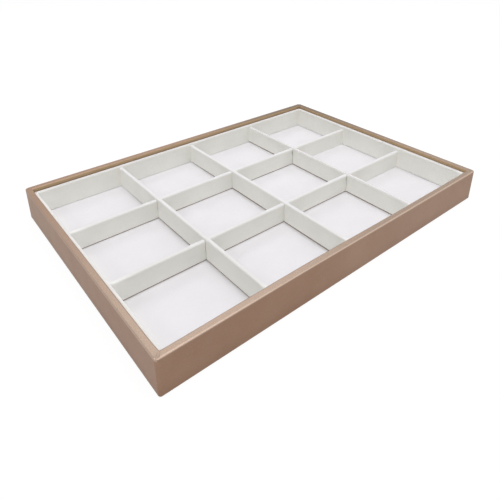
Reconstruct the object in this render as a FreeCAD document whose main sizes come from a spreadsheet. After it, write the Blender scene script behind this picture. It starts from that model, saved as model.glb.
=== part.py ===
import FreeCAD, Part
import os

import Sketcher

# A jewelry tray: a board frame wrapped in leatherette, lined wall panels and floor inside it, and a
# loose lattice of dividers, half-lapped at their crossings, that stands on the floor and lifts out.
# Lengths are in millimetres. The tray is long in X and wide in Y, it stands on Z = 0, and the origin
# is under its middle.

SIZES = {
    # The whole tray, and its grid of compartments
    "tray_length": 350,
    "tray_width": 240,
    "columns": 4,
    "rows": 3,
    # The board frame: four rails round a base board
    "rail_thickness": 3.9,
    "rail_height": 29,
    "rail_corner_radius": 1.4,
    "base_thickness": 2.5,
    # The leatherette wrap: over the rim, down the outside, and turned in under the base
    "wrap_thickness": 0.8,
    "turn_in_width": 14,
    "rim_outer_radius": 0.8,
    "rim_inner_radius": 1.2,
    "foot_radius": 1.2,
    # The sheet that covers the turned-in edge under the base
    "underside_thickness": 0.6,
    "underside_inset": 5,
    # The floor: a covered card
    "floor_card_thickness": 0.8,
    "floor_skin_thickness": 0.6,
    # The wall panels: covered cards that stand on the floor, lower than the rim
    "lip_depth": 4,
    "liner_card_thickness": 1.8,
    "liner_skin_thickness": 0.6,
    "liner_edge_radius": 0.9,
    "liner_skin_trim": 0.3,
    # The dividers: cards in a folded sleeve that is trimmed short of the floor; cross ones stand higher
    "long_divider_height": 19.3,
    "cross_divider_height": 19.8,
    "divider_card_thickness": 2.6,
    "divider_skin_thickness": 0.6,
    "divider_edge_radius": 1.2,
    "divider_skin_trim": 0.6,
    "divider_end_clearance": 0.3,
    # The half laps: long dividers are slotted from the top down to the lap, cross dividers from below
    "lap_height": 9.6,
    "lap_clearance": 0.3,
    "slot_clearance": 0.4,
    # How far a cut runs past the faces that it opens
    "cut_overrun": 1,
}

# The build-up of the wall, inwards from the outside
WRAPPED = "2 * Sizes.wrap_thickness"
FRAME = "2 * (Sizes.wrap_thickness + Sizes.rail_thickness)"
RIM = "2 * (2 * Sizes.wrap_thickness + Sizes.rail_thickness)"
PANEL = "(Sizes.liner_card_thickness + Sizes.liner_skin_thickness)"
TURN_IN = "2 * Sizes.turn_in_width"
INSET = "2 * Sizes.underside_inset"

# Lengths and widths between two facing walls
WELL_LENGTH = f"(Sizes.tray_length - {RIM})"
WELL_WIDTH = f"(Sizes.tray_width - {RIM})"
CLEAR_LENGTH = f"({WELL_LENGTH} - 2 * {PANEL})"
CLEAR_WIDTH = f"({WELL_WIDTH} - 2 * {PANEL})"

# Levels above the surface that the tray stands on
WRAP_FOOT = "Sizes.underside_thickness"
BOARD_FOOT = "(Sizes.underside_thickness + Sizes.wrap_thickness)"
BASE_TOP = f"({BOARD_FOOT} + Sizes.base_thickness)"
CARD_TOP = f"({BASE_TOP} + Sizes.floor_card_thickness)"
FLOOR_TOP = f"({CARD_TOP} + Sizes.floor_skin_thickness)"
RIM_TOP = f"({BOARD_FOOT} + Sizes.rail_height + Sizes.wrap_thickness)"
WRAP_HEIGHT = "(Sizes.rail_height + 2 * Sizes.wrap_thickness)"
PANEL_HEIGHT = f"({RIM_TOP} - Sizes.lip_depth - {FLOOR_TOP})"

# The lattice: equal clear cells between the wall panels
DIVIDER = "(Sizes.divider_card_thickness + 2 * Sizes.divider_skin_thickness)"
COLUMN_PITCH = f"(({CLEAR_LENGTH} + {DIVIDER}) / Sizes.columns)"
ROW_PITCH = f"(({CLEAR_WIDTH} + {DIVIDER}) / Sizes.rows)"
LONG_LENGTH = f"({CLEAR_LENGTH} - 2 * Sizes.divider_end_clearance)"
CROSS_LENGTH = f"({CLEAR_WIDTH} - 2 * Sizes.divider_end_clearance)"
SLOT_WIDTH = f"({DIVIDER} + 2 * Sizes.slot_clearance)"

# How near a coordinate is to a level to count as on it, as a share of the tray's height
LEVEL_SHARE = 1e-5

# How a sketch names its own origin, and the two ends of a line
SKETCH_ORIGIN = -1
START = 1
END = 2

doc = FreeCAD.newDocument("JewelryTray")
sheet = doc.addObject("Spreadsheet::Sheet", "Sizes")
for row, (alias, number) in enumerate(SIZES.items(), start=1):
    sheet.set(f"A{row}", alias)
    sheet.set(f"B{row}", str(number))
    sheet.setAlias(f"B{row}", alias)
doc.recompute()


def value(expression):
    """The number that an expression on the sheet gives."""
    return float(sheet.evalExpression(expression))


def new_body(label, x="0", y="0", z="0", turn=0):
    """A body at a place given by expressions, turned about the vertical by an angle in degrees."""
    body = doc.addObject("PartDesign::Body", label)
    body.Label = label
    upright_axis = FreeCAD.Vector(0, 0, 1)
    body.Placement = FreeCAD.Placement(FreeCAD.Vector(), FreeCAD.Rotation(upright_axis, turn))
    for axis, expression in zip("xyz", (x, y, z)):
        body.setExpression(f"Placement.Base.{axis}", expression)
    return body


def flat_sketch(body, name, x="0", y="0", z="0"):
    """A level sketch whose origin is at a place in the body."""
    ground = next(item for item in body.Origin.OriginFeatures if item.Role == "XY_Plane")
    sketch = body.newObject("Sketcher::SketchObject", name)
    sketch.AttachmentSupport = [(ground, "")]
    sketch.MapMode = "FlatFace"
    for axis, expression in zip("xyz", (x, y, z)):
        sketch.setExpression(f"AttachmentOffset.Base.{axis}", expression)
    return sketch


def add_rectangle(sketch, name, length, width):
    """Draws a rectangle about the sketch's origin, with both its sizes bound to expressions."""
    right = value(length) / 2
    top = value(width) / 2
    corners = [
        FreeCAD.Vector(-right, -top),
        FreeCAD.Vector(right, -top),
        FreeCAD.Vector(right, top),
        FreeCAD.Vector(-right, top),
    ]
    first = sketch.GeometryCount
    sides = [first + side for side in range(len(corners))]
    for corner, following in zip(corners, corners[1:] + corners[:1]):
        sketch.addGeometry(Part.LineSegment(corner, following))
    for side, following in zip(sides, sides[1:] + sides[:1]):
        sketch.addConstraint(Sketcher.Constraint("Coincident", side, END, following, START))
    for side, direction in zip(sides, ("Horizontal", "Vertical") * 2):
        sketch.addConstraint(Sketcher.Constraint(direction, side))
    bottom, rising, opposite, _ = sides
    sketch.addConstraint(
        Sketcher.Constraint("Symmetric", bottom, START, opposite, START, SKETCH_ORIGIN, START)
    )
    for side, kind, size, label in (
        (bottom, "DistanceX", length, f"{name}_length"),
        (rising, "DistanceY", width, f"{name}_width"),
    ):
        index = sketch.addConstraint(Sketcher.Constraint(kind, side, START, side, END, value(size)))
        sketch.renameConstraint(index, label)
        sketch.setExpression(f"Constraints.{label}", size)


def pad(body, name, sketch, height):
    """Raises a sketch's outline by a height."""
    feature = body.newObject("PartDesign::Pad", name)
    feature.Profile = sketch
    feature.setExpression("Length", height)
    return feature


def pocket(body, name, sketch, depth, upward=False):
    """Cuts a sketch's outline down, or up, into the body."""
    feature = body.newObject("PartDesign::Pocket", name)
    feature.Profile = sketch
    feature.Reversed = upward
    feature.setExpression("Length", depth)
    return feature


def row_along_x(body, name, feature, sketch, pitch, count):
    """Repeats a feature along its sketch's X at a pitch."""
    pattern = body.newObject("PartDesign::LinearPattern", name)
    pattern.Originals = [feature]
    pattern.Direction = (sketch, ["H_Axis"])
    pattern.Mode = "Spacing"
    pattern.setExpression("Offset", pitch)
    pattern.setExpression("Occurrences", count)
    body.Tip = pattern
    return pattern


def round_edges(body, name, base, radius, chosen):
    """Rounds those edges of a feature that a test picks."""
    doc.recompute()
    names = [f"Edge{n}" for n, edge in enumerate(base.Shape.Edges, start=1) if chosen(edge)]
    feature = body.newObject("PartDesign::Fillet", name)
    feature.Base = (base, names)
    feature.setExpression("Radius", radius)
    return feature


def is_upright(edge):
    """Whether an edge stands straight up."""
    low, high = sorted(edge.Vertexes, key=lambda vertex: vertex.Z)
    return low.Point.distanceToLine(high.Point, FreeCAD.Vector(0, 0, 1)) < value(RIM_TOP) * LEVEL_SHARE


def is_level(edge, height):
    """Whether an edge lies at a height in its body."""
    return all(
        abs(vertex.Z - value(height)) < value(RIM_TOP) * LEVEL_SHARE for vertex in edge.Vertexes
    )


def is_outside(edge, length, width):
    """Whether an edge's middle is outside a rectangle about the body's upright axis."""
    middle = edge.CenterOfMass
    return abs(middle.x) > value(length) / 2 or abs(middle.y) > value(width) / 2


def block(label, length, width, height, **place):
    """A plain rectangular board, sheet or card."""
    body = new_body(label, **place)
    outline = flat_sketch(body, "Outline")
    add_rectangle(outline, "outline", length, width)
    return body, pad(body, "Board", outline, height)


def add_ring(body, name, outer, inner, foot, height):
    """Raises a rectangular ring of the tray's outline, less an allowance outside and one inside."""
    outline = flat_sketch(body, f"{name}Outline", z=foot)
    for edge_name, allowance in (("outer", outer), ("inner", inner)):
        length = f"Sizes.tray_length - {allowance}"
        width = f"Sizes.tray_width - {allowance}"
        add_rectangle(outline, edge_name, length, width)
    return pad(body, name, outline, height)


def build_frame():
    """The four rails and the base board between them."""
    long_rail_y = "(Sizes.tray_width / 2 - Sizes.wrap_thickness - Sizes.rail_thickness / 2)"
    short_rail_x = "(Sizes.tray_length / 2 - Sizes.wrap_thickness - Sizes.rail_thickness / 2)"
    long_rail = f"Sizes.tray_length - {WRAPPED}"
    inside_length = f"Sizes.tray_length - {FRAME}"
    inside_width = f"Sizes.tray_width - {FRAME}"
    for label, side in (("front_rail", -1), ("back_rail", 1)):
        place = {"y": f"{side} * {long_rail_y}", "z": BOARD_FOOT}
        body, board = block(label, long_rail, "Sizes.rail_thickness", "Sizes.rail_height", **place)
        round_edges(
            body,
            "OuterCorners",
            board,
            "Sizes.rail_corner_radius",
            lambda edge: is_upright(edge) and edge.CenterOfMass.y * side > 0,
        )
    for label, side in (("left_rail", -1), ("right_rail", 1)):
        place = {"x": f"{side} * {short_rail_x}", "z": BOARD_FOOT}
        block(label, "Sizes.rail_thickness", inside_width, "Sizes.rail_height", **place)
    block("base_board", inside_length, inside_width, "Sizes.base_thickness", z=BOARD_FOOT)


def build_outer_wrap():
    """The leatherette skin: outside, rim, inner flap, and the turned-in edge under the base."""
    body = new_body("outer_wrap", z=WRAP_FOOT)
    mid_rim = (f"Sizes.tray_length - {RIM} / 2", f"Sizes.tray_width - {RIM} / 2")
    mid_side = (f"Sizes.tray_length - {WRAPPED} / 2", f"Sizes.tray_width - {WRAPPED} / 2")
    side = add_ring(body, "Side", "0", WRAPPED, "0", WRAP_HEIGHT)
    corners = round_edges(
        body,
        "OuterCorners",
        side,
        "Sizes.rail_corner_radius + Sizes.wrap_thickness",
        lambda edge: is_upright(edge) and is_outside(edge, *mid_side),
    )
    round_edges(
        body,
        "InnerCorners",
        corners,
        "Sizes.rail_corner_radius",
        lambda edge: is_upright(edge) and not is_outside(edge, *mid_side)
        and edge.CenterOfMass.x ** 2 > value(f"Sizes.tray_length - {FRAME}") ** 2 / 4,
    )
    rim_foot = f"{WRAP_HEIGHT} - Sizes.wrap_thickness"
    flap_foot = "Sizes.wrap_thickness + Sizes.base_thickness"
    flap_height = "Sizes.rail_height - Sizes.base_thickness"
    add_ring(body, "Rim", WRAPPED, RIM, rim_foot, "Sizes.wrap_thickness")
    add_ring(body, "Flap", FRAME, RIM, flap_foot, flap_height)
    turned_in = add_ring(body, "TurnIn", WRAPPED, TURN_IN, "0", "Sizes.wrap_thickness")
    outer_rim = round_edges(
        body,
        "OuterRim",
        turned_in,
        "Sizes.rim_outer_radius",
        lambda edge: is_level(edge, WRAP_HEIGHT) and is_outside(edge, *mid_rim),
    )
    inner_rim = round_edges(
        body,
        "InnerRim",
        outer_rim,
        "Sizes.rim_inner_radius",
        lambda edge: is_level(edge, WRAP_HEIGHT)
        and not is_outside(edge, *mid_rim),
    )
    round_edges(
        body,
        "Foot",
        inner_rim,
        "Sizes.foot_radius",
        lambda edge: is_level(edge, "0") and is_outside(edge, *mid_rim),
    )


def build_underside_cover():
    """The sheet under the base: its border lies on the turned-in wrap, its middle on the base board."""
    body = new_body("underside_cover")
    border = flat_sketch(body, "BorderOutline")
    add_rectangle(border, "border", f"Sizes.tray_length - {INSET}", f"Sizes.tray_width - {INSET}")
    pad(body, "Border", border, "Sizes.underside_thickness")
    middle_length = f"Sizes.tray_length - {TURN_IN}"
    middle_width = f"Sizes.tray_width - {TURN_IN}"
    middle = flat_sketch(body, "MiddleOutline")
    add_rectangle(middle, "middle", middle_length, middle_width)
    pad(body, "Middle", middle, BOARD_FOOT)
    step = "2 * Sizes.underside_thickness"
    recess = flat_sketch(body, "RecessOutline")
    add_rectangle(recess, "recess", f"{middle_length} - {step}", f"{middle_width} - {step}")
    pocket(body, "Recess", recess, "Sizes.wrap_thickness", upward=True)


def build_floor():
    """The covered card that lies on the base board, under the feet of the wall panels."""
    block("floor_card", WELL_LENGTH, WELL_WIDTH, "Sizes.floor_card_thickness", z=BASE_TOP)
    block("floor_skin", WELL_LENGTH, WELL_WIDTH, "Sizes.floor_skin_thickness", z=CARD_TOP)


def build_liner(side_name, length, **place):
    """A wall panel along its own X: a card, and a sheet down its face and over its top."""
    card_depth = "Sizes.liner_card_thickness"
    card = new_body(f"{side_name}_liner_card", z=FLOOR_TOP, **place)
    outline = flat_sketch(card, "Outline", y=f"{card_depth} / 2")
    add_rectangle(outline, "card", length, card_depth)
    pad(card, "Board", outline, f"{PANEL_HEIGHT} - Sizes.liner_skin_thickness")

    skin = new_body(f"{side_name}_liner_skin", z=FLOOR_TOP, **place)
    face_y = f"{card_depth} + Sizes.liner_skin_thickness / 2"
    face = flat_sketch(skin, "FaceOutline", y=face_y, z="Sizes.liner_skin_trim")
    add_rectangle(face, "face", length, "Sizes.liner_skin_thickness")
    pad(skin, "Face", face, f"{PANEL_HEIGHT} - Sizes.liner_skin_trim")
    top_z = f"{PANEL_HEIGHT} - Sizes.liner_skin_thickness"
    top = flat_sketch(skin, "TopOutline", y=f"{card_depth} / 2", z=top_z)
    add_rectangle(top, "top", length, card_depth)
    folded = pad(skin, "Top", top, "Sizes.liner_skin_thickness")
    round_edges(
        skin,
        "Fold",
        folded,
        "Sizes.liner_edge_radius",
        lambda edge: is_level(edge, PANEL_HEIGHT) and edge.CenterOfMass.y > value(card_depth),
    )


def build_liners():
    """The four wall panels: front and back run the full length, the ends stand between them."""
    build_liner("front", WELL_LENGTH, y=f"-{WELL_WIDTH} / 2", turn=0)
    build_liner("back", WELL_LENGTH, y=f"{WELL_WIDTH} / 2", turn=180)
    build_liner("left", CLEAR_WIDTH, x=f"-{WELL_LENGTH} / 2", turn=-90)
    build_liner("right", CLEAR_WIDTH, x=f"{WELL_LENGTH} / 2", turn=90)


def cut_slots(body, width, foot, top, pitch, cells, from_top):
    """Cuts a row of half-lap slots through a divider's card or sleeve, open at its top or its foot."""
    first_x = f"-({cells} - 2) / 2 * {pitch}"
    if from_top:
        level, depth = top, f"{top} - Sizes.lap_height"
    else:
        level, depth = foot, f"Sizes.lap_height + Sizes.lap_clearance - {foot}"
    outline = flat_sketch(body, "SlotOutline", x=first_x, z=level)
    add_rectangle(outline, "slot", SLOT_WIDTH, f"{width} + 2 * Sizes.cut_overrun")
    slot = pocket(body, "Slot", outline, depth, upward=not from_top)
    row_along_x(body, "Slots", slot, outline, pitch, f"{cells} - 1")


def build_divider(name, length, top, pitch, cells, from_top, **place):
    """A divider along its own X: a slotted card, and a sleeve folded over it."""
    card_width = "Sizes.divider_card_thickness"
    card_height = f"({top} - Sizes.divider_skin_thickness)"
    card, _ = block(f"{name}_card", length, card_width, card_height, z=FLOOR_TOP, **place)
    cut_slots(card, card_width, "0", card_height, pitch, cells, from_top)

    foot = "Sizes.divider_skin_trim"
    sleeve = new_body(f"{name}_skin", z=FLOOR_TOP, **place)
    outline = flat_sketch(sleeve, "Outline", z=foot)
    add_rectangle(outline, "outline", length, DIVIDER)
    solid = pad(sleeve, "Sleeve", outline, f"{top} - {foot}")
    round_edges(
        sleeve,
        "Fold",
        solid,
        "Sizes.divider_edge_radius",
        lambda edge: is_level(edge, top) and edge.CenterOfMass.y ** 2 > value(card_width) ** 2 / 4,
    )
    space = flat_sketch(sleeve, "CardSpace", z=foot)
    add_rectangle(space, "space", f"{length} + 2 * Sizes.cut_overrun", card_width)
    pocket(sleeve, "Inside", space, f"{card_height} - {foot}", upward=True)
    cut_slots(sleeve, DIVIDER, foot, top, pitch, cells, from_top)


def build_lattice():
    """The dividers: long ones slotted from the top, cross ones slotted from below and laid over them."""
    columns = "Sizes.columns"
    rows = "Sizes.rows"
    long_top = "Sizes.long_divider_height"
    cross_top = "Sizes.cross_divider_height"
    for number in range(1, SIZES["rows"]):
        name = f"long_divider_{number}"
        y = f"({number} - {rows} / 2) * {ROW_PITCH}"
        build_divider(name, LONG_LENGTH, long_top, COLUMN_PITCH, columns, True, y=y)
    for number in range(1, SIZES["columns"]):
        name = f"cross_divider_{number}"
        x = f"({number} - {columns} / 2) * {COLUMN_PITCH}"
        build_divider(name, CROSS_LENGTH, cross_top, ROW_PITCH, rows, False, x=x, turn=90)


def check_document():
    """Stops if any feature failed, any cut removed nothing, or any piece is not one valid solid."""
    doc.recompute()
    for item in doc.Objects:
        if "Invalid" in item.State or "Error" in item.State:
            raise RuntimeError(f"{item.Label} failed: {item.State}")
        if item.TypeId == "PartDesign::Pocket" and item.Shape.Volume >= item.BaseFeature.Shape.Volume:
            raise RuntimeError(f"{item.Label} cuts nothing")
    for body in doc.findObjects("PartDesign::Body"):
        if body.Shape.isNull() or not body.Shape.isValid() or len(body.Shape.Solids) != 1:
            raise RuntimeError(f"{body.Label} is not one valid solid")


def write_pieces():
    """Writes each piece to its own file."""
    os.makedirs("parts", exist_ok=True)
    for body in doc.findObjects("PartDesign::Body"):
        body.Shape.exportStep(f"parts/{body.Label}.step")
        print(f"{body.Label}: {body.Shape.Volume:.1f} mm3")


build_frame()
build_outer_wrap()
build_underside_cover()
build_floor()
build_liners()
build_lattice()
check_document()
write_pieces()
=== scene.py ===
"""A jewelry tray dressed for the camera: leatherette skins, lining and divider sleeves over its boards."""

import logging
import math
from dataclasses import dataclass
from enum import Enum
from itertools import pairwise
from types import MappingProxyType
from typing import Mapping, Sequence, Union

import bpy
from mathutils import Color, Matrix, Vector, noise


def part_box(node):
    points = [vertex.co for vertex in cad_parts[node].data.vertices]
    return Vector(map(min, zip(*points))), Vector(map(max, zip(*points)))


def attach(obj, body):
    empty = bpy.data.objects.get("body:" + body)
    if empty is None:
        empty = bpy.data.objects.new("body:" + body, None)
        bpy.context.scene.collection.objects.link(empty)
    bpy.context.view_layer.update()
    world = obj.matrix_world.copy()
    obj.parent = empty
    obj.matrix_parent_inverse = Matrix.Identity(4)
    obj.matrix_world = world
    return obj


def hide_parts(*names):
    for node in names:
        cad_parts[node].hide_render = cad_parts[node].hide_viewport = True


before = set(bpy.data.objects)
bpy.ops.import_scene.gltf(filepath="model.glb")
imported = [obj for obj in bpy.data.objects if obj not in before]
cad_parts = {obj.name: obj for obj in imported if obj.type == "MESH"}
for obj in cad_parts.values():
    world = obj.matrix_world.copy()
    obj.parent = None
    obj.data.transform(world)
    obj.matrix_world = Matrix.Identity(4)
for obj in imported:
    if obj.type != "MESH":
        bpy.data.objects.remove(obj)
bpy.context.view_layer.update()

LOG = logging.getLogger("jewelry_tray")
MM = 0.001
SCREEN_WHITE = 255
CRISP_ANGLE = math.radians(50)
SLEEVE_SEED_STEP = 2.3
NOTHING: Mapping[str, object] = MappingProxyType({})

Colour = tuple[float, float, float]
Point = tuple[float, float, float]
Spot = tuple[float, float]
Band = tuple[float, float]
Face = tuple[int, int, int, int]


def srgb(red: int, green: int, blue: int) -> Colour:
    """Turns a colour as a screen shows it, from 0 to 255 in each channel, into linear light."""
    shown = Color(level / SCREEN_WHITE for level in (red, green, blue))
    return tuple(shown.from_srgb_to_scene_linear())


class Value:
    """A node's output whose arithmetic adds Math nodes to the same tree."""

    def __init__(self, tree: "FinishTree", socket: bpy.types.NodeSocket) -> None:
        """Holds the output and the tree that it belongs to."""
        self.tree = tree
        self.socket = socket

    def math(self, operation: str, first: "Term", second: "Term") -> "Value":
        """The result of a Math node that works on two values or links."""
        sockets = {"Value": first, "Value_001": second}
        return self.tree.value("ShaderNodeMath", "Value", {"operation": operation}, sockets)

    def __add__(self, other: "Term") -> "Value":
        """Self plus other."""
        return self.math("ADD", self, other)

    def __radd__(self, other: "Term") -> "Value":
        """Other plus self."""
        return self.math("ADD", other, self)

    def __sub__(self, other: "Term") -> "Value":
        """Self less other."""
        return self.math("SUBTRACT", self, other)

    def __rsub__(self, other: "Term") -> "Value":
        """Other less self."""
        return self.math("SUBTRACT", other, self)

    def __mul__(self, other: "Term") -> "Value":
        """Self times other."""
        return self.math("MULTIPLY", self, other)

    def __rmul__(self, other: "Term") -> "Value":
        """Other times self."""
        return self.math("MULTIPLY", other, self)

    def larger(self, other: "Term") -> "Value":
        """The larger of self and other."""
        return self.math("MAXIMUM", self, other)

    def smaller(self, other: "Term") -> "Value":
        """The smaller of self and other."""
        return self.math("MINIMUM", self, other)

    def varied(self, spread: float) -> "Value":
        """Soft noise turned into a factor about 1, with the given spread."""
        return self * spread + (1 - spread / 2)

    def rise(self, low: float, high: float) -> "Value":
        """Goes smoothly from 0 to 1, upwards or downwards.

        Args:
            low: where it is 0.
            high: where it is 1, which may be below low.

        Returns:
            The step.
        """
        settings = {"interpolation_type": "SMOOTHSTEP"}
        sockets = {"Value": self, "From Min": min(low, high), "From Max": max(low, high)}
        step = self.tree.value("ShaderNodeMapRange", "Result", settings, sockets)
        return step if low < high else 1 - step


Term = Union[Value, float]
Input = Union[Value, float, Sequence[float]]
Settings = Mapping[str, object]
Sockets = Mapping[str, Input]


class FinishTree:
    """The node tree that a finish is worked out in."""

    noise_roughness: float = 0.55
    crease_width: float = 0.30

    def __init__(self, tree: bpy.types.NodeTree) -> None:
        """Starts from an empty tree."""
        self.tree = tree
        tree.nodes.clear()

    def node(self, kind: str, settings: Settings, sockets: Sockets) -> bpy.types.Node:
        """Adds a node.

        Args:
            kind: the node's type.
            settings: its own properties, set first.
            sockets: values or links by the inputs' identifiers.

        Returns:
            The new node.
        """
        made = self.tree.nodes.new(kind)
        for name, setting in settings.items():
            setattr(made, name, setting)
        inputs = {socket.identifier: socket for socket in made.inputs}
        for identifier, term in sockets.items():
            if isinstance(term, Value):
                self.tree.links.new(term.socket, inputs[identifier])
            else:
                inputs[identifier].default_value = term
        return made

    def value(
        self, kind: str, output: str, settings: Settings = NOTHING, sockets: Sockets = NOTHING
    ) -> Value:
        """Adds a node in the same way and hands on the output that has the given identifier."""
        made = self.node(kind, settings, sockets)
        return Value(self, next(socket for socket in made.outputs if socket.identifier == output))

    def mix(self, first: Input, second: Input, share: Term) -> Value:
        """Mixes two colours, with the given share of the second."""
        sockets = {"Factor_Float": share, "A_Color": opaque(first), "B_Color": opaque(second)}
        return self.value("ShaderNodeMix", "Result_Color", {"data_type": "RGBA"}, sockets)

    def millimetres(self) -> Value:
        """The place on the piece, in millimetres from the tray's origin."""
        sockets = {"Vector": self.value("ShaderNodeTexCoord", "Object"), "Scale": 1 / MM}
        return self.value("ShaderNodeVectorMath", "Vector", {"operation": "SCALE"}, sockets)

    def stretched(self, place: Value, factors: Point) -> Value:
        """A place with its three coordinates multiplied."""
        sockets = {"Vector": place, "Vector_001": factors}
        return self.value("ShaderNodeVectorMath", "Vector", {"operation": "MULTIPLY"}, sockets)

    def axes(self, vector: Value) -> list[Value]:
        """The three coordinates of a vector."""
        parts = self.node("ShaderNodeSeparateXYZ", NOTHING, {"Vector": vector})
        return [Value(self, part) for part in parts.outputs]

    def cloud(self, place: Value, size: float, detail: float = 2.0) -> Value:
        """Soft noise from 0 to 1 whose patches have a size in millimetres."""
        sockets = {"Vector": place, "Scale": 1 / size, "Detail": detail, "Roughness": self.noise_roughness}
        return self.value("ShaderNodeTexNoise", "Fac", NOTHING, sockets)

    def pebbles(self, place: Value, size: float) -> Value:
        """Rounded pebbles of a size in millimetres: 0 in the creases, 1 on the crowns."""
        sockets = {"Vector": place, "Scale": 1 / size, "Randomness": 1.0}
        edge = self.value("ShaderNodeTexVoronoi", "Distance", {"feature": "DISTANCE_TO_EDGE"}, sockets)
        return edge.rise(0.0, self.crease_width)

    def bump(self, height: Value, depth: float) -> Value:
        """A normal that follows a height, with its depth in millimetres."""
        sockets = {"Height": height, "Distance": depth * MM, "Strength": 1.0}
        return self.value("ShaderNodeBump", "Normal", NOTHING, sockets)

    def surface(self, sockets: Sockets) -> None:
        """Ends the tree with a Principled surface."""
        shader = self.value("ShaderNodeBsdfPrincipled", "BSDF", NOTHING, sockets)
        self.node("ShaderNodeOutputMaterial", NOTHING, {"Surface": shader})


def opaque(colour: Input) -> Input:
    """A colour with full opacity, or a link as it is."""
    return colour if isinstance(colour, Value) else (*colour, 1.0)


def new_material(name: str) -> tuple[bpy.types.Material, FinishTree]:
    """Makes an empty material.

    Args:
        name: the material's name.

    Returns:
        The material and its tree.
    """
    material = bpy.data.materials.new(name)
    material.use_nodes = True
    return material, FinishTree(material.node_tree)


@dataclass(frozen=True)
class Finish:
    """A finish of the tray: the name of its material, and the slot of the record that it is meant for,
    which nothing here reads.
    """

    name: str
    slot: str

    def lay(self, tree: FinishTree) -> None:
        """Works the finish out in an empty tree, each kind of finish in its own way."""
        raise NotImplementedError

    def material(self) -> bpy.types.Material:
        """Makes the finish's one material when it is first asked for.

        Returns:
            The material.
        """
        made = bpy.data.materials.get(self.name)
        if made is None:
            made, tree = new_material(self.name)
            self.lay(tree)
        return made


WRAP_LOW, WRAP_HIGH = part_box("outer_wrap")
RAIL_LOW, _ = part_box("front_rail")
_, BASE_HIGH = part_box("base_board")
FLOOR_CARD_LOW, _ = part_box("floor_card")
_, FRONT_LINER_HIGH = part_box("front_liner_skin")
_, LEFT_LINER_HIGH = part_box("left_liner_skin")


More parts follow.
